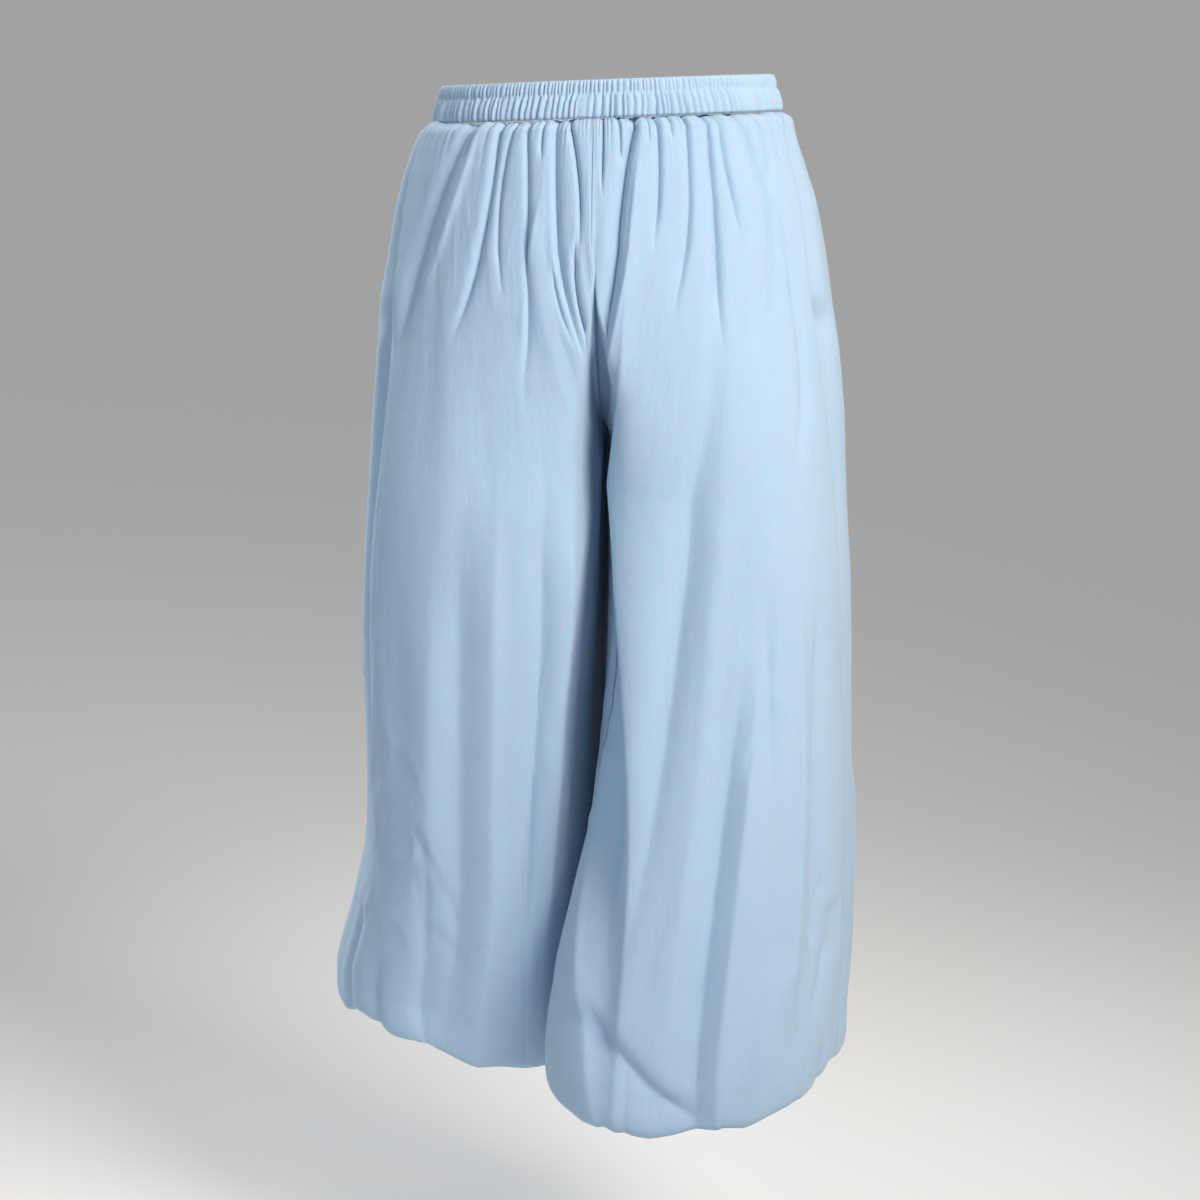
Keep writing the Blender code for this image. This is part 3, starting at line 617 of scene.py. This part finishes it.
def mouth_open(z):
    """1 along the pocket mouth, 0 below it."""
    return 1.0 - smooth_step(-MOUTH_END - 0.002, -MOUTH_END + 0.025, -z)


def tuck_depth(across, z):
    """How far the front panel lies inside, towards its edge at the pocket mouth."""
    near_top = 0.35 + 0.65 * smooth_step(0.014, 0.045, -z)
    return MOUTH_TUCK * near_top * mouth_open(z) * smooth_step(0.90, 0.99, across)


def side_hollow(panel, spread, z):
    """The hollow along the side seam, as deep on both panels that meet there."""
    heights, depths = np.array(SIDE_HOLLOW[panel.split("_")[1]]).T
    depth = np.interp(-z, -heights, depths)
    return -depth * np.exp(-((1.0 - spread) / SIDE_HOLLOW_WIDTH[panel]) ** 1.6)


def panel_net(side, face, spread, place, down):
    """Points of a finished panel, and where each lies on the cut cloth, in metres."""
    panel = f"{face}_{side}"
    z = along_table(COURSES, place)[:, 0][:, None] * np.ones((1, len(spread)))
    spread = spread[None, :] * np.ones_like(z)
    down = down[:, None] * np.ones_like(z)
    edge = smooth_step(0.0, 0.03, spread) * smooth_step(0.0, 0.03, 1.0 - spread)
    relief = edge * (fold_heights(panel, spread, z) + crumple_heights(panel, spread, down))
    sewn = smooth_step(0.0, 0.01, spread) * smooth_step(0.0, 0.01, 1.0 - spread)
    relief += sewn * pucker_heights(panel, spread, z)
    relief += side_hollow(panel, spread, z)
    relief -= TOP_TUCK * np.exp((z - WAIST_SEAM) / TOP_TUCK_REACH)
    dips = np.exp(-(spread / SEAM_DIP_WIDTH) ** 2)
    if face == "front":
        dips = dips + np.exp(-((1.0 - spread) / SEAM_DIP_WIDTH) ** 2)
    relief -= SEAM_DIP * dips
    across = spread
    if face == "front":
        lap = MOUTH_LAP * (1.0 - smooth_step(-MOUTH_END - 0.025, -MOUTH_END, -z))
        relief = relief - tuck_depth(spread, z)
        across = spread * (1.0 + lap)
    else:
        relief = relief + MOUTH_LIP * mouth_open(z) * smooth_step(0.93, 1.0, spread)
    points, outward, z = plain_net(side, face, across, place)
    return points + outward * relief[..., None], spread * CUT_WIDTH, down


print("puckers along the waist seam:", PUCKERS * len(PANEL_SEED))

# %% [markdown]
# ## From a net to a piece of cloth
#
# A net of points becomes a grid of four-sided faces. Its UV map is the cut cloth itself, in metres,
# so the weave follows the threads wherever the panel bends. A Solidify modifier gives the sheet its
# thickness inwards. Rows lie close together under the waist seam and round the hem fold, where the
# form turns fast.

# %% Making a cloth grid
SHELL = 0.0007                   # thickness of the cloth that shows


def cloth_object(name, points, around, u, v):
    """A smooth mesh over a net of points, with the cut cloth as its UV map."""
    corners = np.stack(around, axis=-1).reshape(-1, 4)
    mesh = bpy.data.meshes.new(name)
    mesh.from_pydata(points.reshape(-1, 3).tolist(), [], corners.tolist())
    layer = mesh.uv_layers.new(name="cut")
    place = np.stack([u.ravel(), v.ravel()], axis=-1)[corners.ravel()]
    layer.data.foreach_set("uv", place.astype(np.float32).ravel())
    mesh.shade_smooth()
    return add_object(name, mesh)


def cloth_grid(name, points, u, v, flip):
    """An open grid of cloth, turned inside out if flip is true."""
    rows, columns = points.shape[:2]
    index = np.arange(rows * columns).reshape(rows, columns)
    around = [index[:-1, :-1], index[1:, :-1], index[1:, 1:], index[:-1, 1:]]
    return cloth_object(name, points, around[::-1] if flip else around, u, v)


def give_thickness(obj, thickness):
    """Cloth thickness, added on the inside."""
    wall = obj.modifiers.new("thickness", "SOLIDIFY")
    wall.thickness = thickness
    wall.offset = -1.0
    wall.use_even_offset = False


COLUMNS = 224
# how far down the cloth, and the step from row to row there
ROW_STEP = ((0.0, 0.0013), (0.020, 0.0016), (0.050, 0.0036), (0.400, 0.0060), (0.740, 0.0052),
            (0.790, 0.0022), (0.860, 0.0034), (1.2, 0.0050))


def row_places():
    """Places along the courses for each row of the net, and how far down the cloth each one is."""
    fine = np.linspace(0.0, len(COURSES) - 1, 4000)
    curve = along_table(COURSES, fine)
    length = np.concatenate([[0.0], np.cumsum(np.hypot(*np.diff(curve, axis=0).T))])
    down = [0.0]
    while down[-1] < length[-1]:
        down.append(down[-1] + float(np.interp(down[-1], *zip(*ROW_STEP))))
    down = np.array(down) * length[-1] / down[-1]
    return np.interp(down, length, fine), down


PLACES, DOWN = row_places()
print("rows:", len(PLACES), "of", COLUMNS + 1, "points, cloth", round(DOWN[-1], 3), "m long")

# %% The four leg panels
spread = np.linspace(0.0, 1.0, COLUMNS + 1)
panels = {}
for side in SIDES:
    for face in FACES:
        name = f"{face}_{side}"
        points, u, v = panel_net(side, face, spread, PLACES, DOWN)
        panels[name] = cloth_grid(name + "_cloth", points, u, v, SIDES[side] * FACES[face] < 0.0)
        give_thickness(panels[name], SHELL)
        lengths = np.linalg.norm(np.diff(points, axis=1), axis=2).sum(axis=1)
        print(name, "longest row", round(float(lengths.max()), 3), "m")

# %% [markdown]
# ## The waistband
#
# The band is one strip folded over elastic and stitched a third of the way down, so the elastic runs in
# two channels. Where the elastic pulls the cloth in, it stands in narrow ribs with sharp valleys. They
# are finer in the narrow upper channel. At a few places of the lower one the cloth lies flat.

# %% Sizes of the band
BAND_TOP = 0.0155
BAND_BOTTOM = -0.0135
BAND_WALL = 0.0030
STITCH_LINE = 0.0050             # height of the stitching between the two channels
RIBS_LOWER, RIBS_UPPER = 150, 204
RIB_HEIGHT_LOWER, RIB_HEIGHT_UPPER = 0.0038, 0.0029
RIB_POWER, RIB_MIDDLE = 0.8, 0.60    # below 1 the valleys are sharper than the tops
BAND_COLUMNS = 1440
BAND_STEPS = 22                  # up the outer face
BAND_CUT = 1.10                  # length of the strip when it is flat
# height, half-width and half-depth of the band
BAND_FORM = (
    (-0.0135, 0.1460, 0.1110), (-0.0050, 0.1440, 0.1095), (0.0050, 0.1412, 0.1070),
    (0.0105, 0.1400, 0.1060), (0.0155, 0.1390, 0.1055),
)
# middle and half-width of each flat place, as shares of the way round
FLAT_PLACES = ((0.050, 0.010), (0.233, 0.0075), (0.426, 0.0085))


def ring_point(angle, half_width, half_depth):
    """A point of the band's oval at an angle from +X."""
    radius = 1.0 / np.hypot(np.cos(angle) / half_width, np.sin(angle) / half_depth)
    return radius * np.cos(angle), radius * np.sin(angle)


def rib_wave(phase, sizes, height):
    """Round-topped ribs, each with its own size."""
    number = np.floor(phase).astype(int)
    return height * sizes[number] * (np.abs(np.sin(math.pi * phase)) ** RIB_POWER - RIB_MIDDLE)


def rib_heights(share, z):
    """Height of the ribs round the band, at shares of the way round and heights."""
    flat = sum(np.exp(-((share - middle) / half) ** 4) for middle, half in FLAT_PLACES)
    lean = 0.010 * np.sin(2.0 * math.pi * share * 3.0 + 0.6) * (z - STITCH_LINE) / 0.02
    wobble = 0.0009 * hills(share * 4.0, z * 40.0, 5, 0.02, 0.5)
    lower_phase = uneven_wave((share + 0.25 * lean + wobble) % 1.0, 71, RIBS_LOWER, 0.55)
    upper_phase = uneven_wave((share + 0.15 * lean + wobble) % 1.0, 72, RIBS_UPPER, 0.50)
    chance = np.random.default_rng(73)
    lower = rib_wave(lower_phase, chance.uniform(0.45, 1.15, RIBS_LOWER + 1), RIB_HEIGHT_LOWER)
    upper = rib_wave(upper_phase, chance.uniform(0.50, 1.15, RIBS_UPPER + 1), RIB_HEIGHT_UPPER)
    above = smooth_step(STITCH_LINE - 0.0006, STITCH_LINE + 0.0006, z)
    return above * upper + (1.0 - above) * lower * (1.0 - 0.92 * np.clip(flat, 0.0, 1.0))


print("ribs round the band:", RIBS_LOWER, "below the stitching and", RIBS_UPPER, "above it")

# %% The band's mesh
def band_profile():
    """Height, standing out and share of the ribs, up the outer face, over the top and down inside."""
    rows = []
    for step in range(BAND_STEPS + 1):
        z = BAND_BOTTOM + (BAND_TOP - BAND_BOTTOM) * step / BAND_STEPS - 0.0006 * (step == 0)
        low, high = (BAND_BOTTOM, STITCH_LINE) if z < STITCH_LINE else (STITCH_LINE, BAND_TOP)
        swell = max(0.0, math.sin(math.pi * (z - low) / (high - low)))
        if z < STITCH_LINE:
            out = 0.0010 * swell ** 0.7 - 0.0008 * (step == 0)
            ribs = 0.70 + 0.30 * swell ** 0.5
        else:
            out = 0.0009 * swell ** 0.7 - 0.0004
            ribs = 0.40 + 0.60 * swell ** 0.5
        rows.append((z, out, ribs))
    rows += [(BAND_TOP + 0.0007, -0.0011, 0.35), (BAND_TOP + 0.0004, -0.0022, 0.2)]
    inside = (BAND_TOP - 0.0006, BAND_TOP * 0.4, BAND_BOTTOM * 0.4, BAND_BOTTOM)
    return rows + [(z, -BAND_WALL, 0.0) for z in inside]


def make_band():
    """The ribbed ring, closed all round."""
    share = np.arange(BAND_COLUMNS) / BAND_COLUMNS
    angle = 2.0 * math.pi * share
    heights, widths, depths = np.array(BAND_FORM).T
    net = []
    for z, out, ribs in band_profile():
        relief = out + ribs * rib_heights(share, np.full_like(share, z))
        half_width = np.interp(z, heights, widths) + relief
        half_depth = np.interp(z, heights, depths) + relief
        x, y = ring_point(angle, half_width, half_depth)
        net.append(np.stack([x, y, z - x * math.tan(WAIST_TILT)], axis=-1))
    net = np.array(net)
    rows = len(net)
    index = np.arange(rows * BAND_COLUMNS).reshape(rows, BAND_COLUMNS)
    ahead, above = np.roll(index, -1, axis=1), np.roll(index, -1, axis=0)
    corner = np.roll(ahead, -1, axis=0)
    u = (index % BAND_COLUMNS) / BAND_COLUMNS * BAND_CUT
    v = np.repeat(np.cumsum([0.0] + [0.0013] * (rows - 1)), BAND_COLUMNS)
    return cloth_object("waistband_cloth", net, [index, ahead, corner, above], u, v)


waistband = make_band()
print("waistband faces:", len(waistband.data.polygons))

# %% [markdown]
# ## Pocket bags
#
# Each bag is two pressed layers of cloth behind the front panel, sewn into the side seam at the mouth.
# They hardly show, but they can be seen through the leg openings.

# %% The two pocket bags
BAG_TOP, BAG_BOTTOM = -0.020, -0.262
BAG_THICKNESS = 0.0020
BAG_DEPTH = 0.0078               # how far the bag lies inside the panel's plain form
BAG_ROWS, BAG_COLUMNS = 70, 40
FALLING_COURSES = 20             # the first courses, whose heights fall steadily


def make_bag(side):
    """One pressed pocket bag."""
    down = np.linspace(0.0, 1.0, BAG_ROWS + 1)
    z = BAG_TOP + (BAG_BOTTOM - BAG_TOP) * down
    falling = [-height for height, inset in COURSES[:FALLING_COURSES]]
    place = np.interp(-z, falling, np.arange(FALLING_COURSES))
    near = 0.58 + 0.12 * smooth_step(0.6, 1.0, down)
    far = 1.0 - 0.18 * smooth_step(0.66, 1.0, down)
    across = near[:, None] + (far - near)[:, None] * np.linspace(0.0, 1.0, BAG_COLUMNS + 1)[None, :]
    points, outward, level = plain_net(side, "front", across, place)
    crumple = 0.0008 * hills(across * 0.4, level, 91, 0.03, 0.05)
    hollow = side_hollow(f"front_{side}", across, level)
    depth = BAG_DEPTH + tuck_depth(across, level) + crumple - hollow
    points = points - outward * depth[..., None]
    obj = cloth_grid(f"pocket_bag_{side}_cloth", points, across * CUT_WIDTH, -level, side == "left")
    give_thickness(obj, BAG_THICKNESS)
    return obj


bags = {side: make_bag(side) for side in SIDES}
print("pocket bags:", [bag.name for bag in bags.values()])

# %% [markdown]
# ## Stitches
#
# The row of stitching between the two channels is the one seam whose thread shows. Geometry Nodes lay a
# short thread along a curve at even steps, turned along the curve.

# %% A tree that sews along a curve
def stitch_tree():
    """Geometry Nodes that set a rounded stitch at each step along a curve."""
    tree = bpy.data.node_groups.new("sew_along", "GeometryNodeTree")
    face = tree.interface
    face.new_socket("Geometry", in_out="INPUT", socket_type="NodeSocketGeometry")
    for label, value in (("Pitch", 0.0028), ("Stitch length", 0.0021), ("Thread radius", 0.00022)):
        socket = face.new_socket(label, in_out="INPUT", socket_type="NodeSocketFloat")
        socket.default_value = value
    face.new_socket("Thread", in_out="INPUT", socket_type="NodeSocketMaterial")
    face.new_socket("Geometry", in_out="OUTPUT", socket_type="NodeSocketGeometry")
    nodes = tree.nodes
    inputs, outputs = nodes.new("NodeGroupInput"), nodes.new("NodeGroupOutput")
    points = nodes.new("GeometryNodeCurveToPoints")
    points.mode = "LENGTH"
    thread = nodes.new("GeometryNodeMeshCylinder")
    thread.inputs["Vertices"].default_value = 6
    thread.inputs["Side Segments"].default_value = 3
    thread.fill_type = "TRIANGLE_FAN"
    instance = nodes.new("GeometryNodeInstanceOnPoints")
    realize = nodes.new("GeometryNodeRealizeInstances")
    paint = nodes.new("GeometryNodeSetMaterial")
    for source, given, target, taken in (
            (inputs, "Geometry", points, "Curve"),
            (inputs, "Pitch", points, "Length"),
            (inputs, "Thread radius", thread, "Radius"),
            (inputs, "Stitch length", thread, "Depth"),
            (points, "Points", instance, "Points"),
            (points, "Rotation", instance, "Rotation"),
            (thread, "Mesh", instance, "Instance"),
            (instance, "Instances", realize, "Geometry"),
            (realize, "Geometry", paint, "Geometry"),
            (inputs, "Thread", paint, "Material"),
            (paint, "Geometry", outputs, "Geometry")):
        tree.links.new(source.outputs[given], target.inputs[taken])
    return tree


def sew(name, points, tree, thread):
    """A closed row of stitches along points, as a plain mesh."""
    data = bpy.data.curves.new(name, "CURVE")
    data.dimensions = "3D"
    line = data.splines.new("POLY")
    line.points.add(len(points) - 1)
    line.use_cyclic_u = True
    for point, place in zip(line.points, points):
        point.co = (*place, 1.0)
    guide = add_object(name + "_guide", data)
    sewing = guide.modifiers.new("sewing", "NODES")
    sewing.node_group = tree
    for item in tree.interface.items_tree:
        if item.in_out == "INPUT" and item.name == "Thread":
            sewing[item.identifier] = thread
    bpy.context.view_layer.update()
    evaluated = guide.evaluated_get(bpy.context.evaluated_depsgraph_get())
    mesh = bpy.data.meshes.new_from_object(evaluated)
    mesh.name = name
    guide.modifiers.remove(sewing)
    bpy.data.objects.remove(guide)
    mesh.shade_smooth()
    return add_object(name, mesh)


# %% [markdown]
# ## Finishes
#
# Poplin is a fine plain weave, its threads a fifth of a millimetre apart, with now and then a thicker
# one. At arm's length the weave melts into a soft matt face with a slight sheen at grazing angles, and
# the eye reads the small creases instead. One shader group makes both for every piece, and each piece's
# own material sets its colour and how strongly they show. The group also paints faint shade into the
# colour where the creases dip.

# %% The shared weave
def weave_group():
    """Shader group: colour and bump of a plain weave with faint creases, from the cut's UV map, with
    painted shade in the crease troughs.
    """
    group = bpy.data.node_groups.new("poplin_weave", "ShaderNodeTree")
    face = group.interface
    for label, kind, value in (
            ("Colour", "Color", (0.5, 0.6, 0.7, 1.0)),
            ("Thread pitch", "Float", 0.00022),
            ("Weave depth", "Float", 0.00003),
            ("Crease depth", "Float", 0.0008)):
        socket = face.new_socket(label, in_out="INPUT", socket_type="NodeSocket" + kind)
        socket.default_value = value
    for label, kind in (("Colour", "Color"), ("Roughness", "Float"), ("Normal", "Vector")):
        face.new_socket(label, in_out="OUTPUT", socket_type="NodeSocket" + kind)
    nodes, links = group.nodes, group.links
    inputs, outputs = nodes.new("NodeGroupInput"), nodes.new("NodeGroupOutput")
    cut = nodes.new("ShaderNodeUVMap")
    cut.uv_map = "cut"

    def math_node(kind, first, second=None):
        node = nodes.new("ShaderNodeMath")
        node.operation = kind
        for socket, value in zip(node.inputs, (first, second)):
            if isinstance(value, bpy.types.NodeSocket):
                links.new(value, socket)
            elif value is not None:
                socket.default_value = value
        return node.outputs[0]

    def noise(scale, detail, stretch):
        place = nodes.new("ShaderNodeMapping")
        place.inputs["Scale"].default_value = stretch
        links.new(cut.outputs["UV"], place.inputs["Vector"])
        node = nodes.new("ShaderNodeTexNoise")
        node.inputs["Scale"].default_value = scale
        node.inputs["Detail"].default_value = detail
        links.new(place.outputs["Vector"], node.inputs["Vector"])
        return node.outputs["Fac"]

    split = nodes.new("ShaderNodeSeparateXYZ")
    links.new(cut.outputs["UV"], split.inputs["Vector"])
    per_metre = math_node("DIVIDE", math.pi, inputs.outputs["Thread pitch"])
    warp = math_node("SINE", math_node("MULTIPLY", split.outputs["X"], per_metre))
    weft = math_node("SINE", math_node("MULTIPLY", split.outputs["Y"], per_metre))
    weave = math_node("MULTIPLY", math_node("MULTIPLY", warp, weft), inputs.outputs["Weave depth"])
    slub_up = noise(1.0, 2.0, (900.0, 9.0, 1.0))
    slub_across = noise(1.0, 2.0, (9.0, 900.0, 1.0))
    slub = math_node("ADD", slub_up, slub_across)
    creases = noise(1.0, 3.0, (70.0, 30.0, 1.0))
    crackle = noise(1.0, 3.0, (210.0, 120.0, 1.0))
    crease = math_node("ADD", creases, math_node("MULTIPLY", crackle, 0.30))
    height = math_node("ADD", weave, math_node("MULTIPLY", crease, inputs.outputs["Crease depth"]))
    bump = nodes.new("ShaderNodeBump")
    bump.inputs["Strength"].default_value = 1.0
    bump.inputs["Distance"].default_value = 1.0
    links.new(height, bump.inputs["Height"])
    links.new(bump.outputs["Normal"], outputs.inputs["Normal"])
    # colour: the slub's own tone of thicker threads, plus painted shade, darker where the crease relief
    # is low
    slub_tone_and_crease_shade = math_node("ADD", math_node("MULTIPLY", slub, 0.025), math_node("MULTIPLY", creases, 0.04))
    slub_tone_and_crease_shade = math_node("ADD", slub_tone_and_crease_shade, 0.955)
    shade = nodes.new("ShaderNodeVectorMath")
    shade.operation = "SCALE"
    links.new(inputs.outputs["Colour"], shade.inputs["Vector"])
    links.new(slub_tone_and_crease_shade, shade.inputs["Scale"])
    links.new(shade.outputs["Vector"], outputs.inputs["Colour"])
    rough = math_node("ADD", math_node("MULTIPLY", slub, 0.10), 0.70)
    links.new(rough, outputs.inputs["Roughness"])
    return group


WEAVE = weave_group()
print("shared shader group:", WEAVE.name, "with", len(WEAVE.nodes), "nodes")


# %% Poplin for each piece
def poplin(name, colour, crease_depth, sheen):
    """Cotton poplin of one colour."""
    material = bpy.data.materials.new(name)
    material.use_nodes = True
    nodes, links = material.node_tree.nodes, material.node_tree.links
    shader = nodes["Principled BSDF"]
    weave = nodes.new("ShaderNodeGroup")
    weave.node_tree = WEAVE
    weave.inputs["Colour"].default_value = (*colour, 1.0)
    weave.inputs["Crease depth"].default_value = crease_depth
    for given, taken in (("Colour", "Base Color"), ("Roughness", "Roughness"), ("Normal", "Normal")):
        links.new(weave.outputs[given], shader.inputs[taken])
    for label, value in (("Subsurface Weight", 0.25), ("Subsurface Radius", (0.35, 0.65, 1.0)),
                         ("Subsurface Scale", 0.0014), ("Sheen Weight", sheen),
                         ("Sheen Roughness", 0.5), ("Specular IOR Level", 0.25)):
        shader.inputs[label].default_value = value
    return material


# colour, depth of the creases in metres and strength of the sheen
cloth_finish = poplin("leg_poplin", (0.362, 0.502, 0.648), 0.0008, 0.10)
band_finish = poplin("band_poplin", (0.370, 0.510, 0.652), 0.0002, 0.10)
bag_finish = poplin("bag_poplin", (0.36, 0.52, 0.67), 0.0007, 0.05)
thread_finish = plain_finish("sewing_thread", (0.45, 0.60, 0.74), 0.55)

for panel in panels.values():
    panel.data.materials.append(cloth_finish)
waistband.data.materials.append(band_finish)
for bag in bags.values():
    bag.data.materials.append(bag_finish)
print("materials:", [material.name for material in bpy.data.materials])

# %% Sewing the band
SEW = stitch_tree()
GUIDE_POINTS = 720
STITCH_FACES = 30                # of one stitch


def band_seam(z, out):
    """Points round the band at a height, on its outer face."""
    share = np.arange(GUIDE_POINTS) / GUIDE_POINTS
    heights, widths, depths = np.array(BAND_FORM).T
    relief = out + 0.35 * np.maximum(0.0, rib_heights(share, np.full_like(share, z)))
    x, y = ring_point(2.0 * math.pi * share, np.interp(z, heights, widths) + relief,
                      np.interp(z, heights, depths) + relief)
    return np.stack([x, y, z - x * math.tan(WAIST_TILT)], axis=-1)


channel_stitches = sew("channel_stitches", band_seam(STITCH_LINE, -0.0002), SEW, thread_finish)
print("stitches round the band:", len(channel_stitches.data.polygons) // STITCH_FACES)

# %% [markdown]
# ## Telling the frame what each piece is
#
# Every piece rides on the one body and stands for its solid. At the waist the gathers take up about
# half of a panel's width.

# %% Riding and replacing
for name, panel in panels.items():
    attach(panel, "root")
    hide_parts(name)
for side, bag in bags.items():
    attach(bag, "root")
    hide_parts(f"pocket_bag_{side}")
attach(waistband, "root")
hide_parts("waistband")
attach(channel_stitches, "root")
print("pieces:", len(panels) + len(bags) + 2)
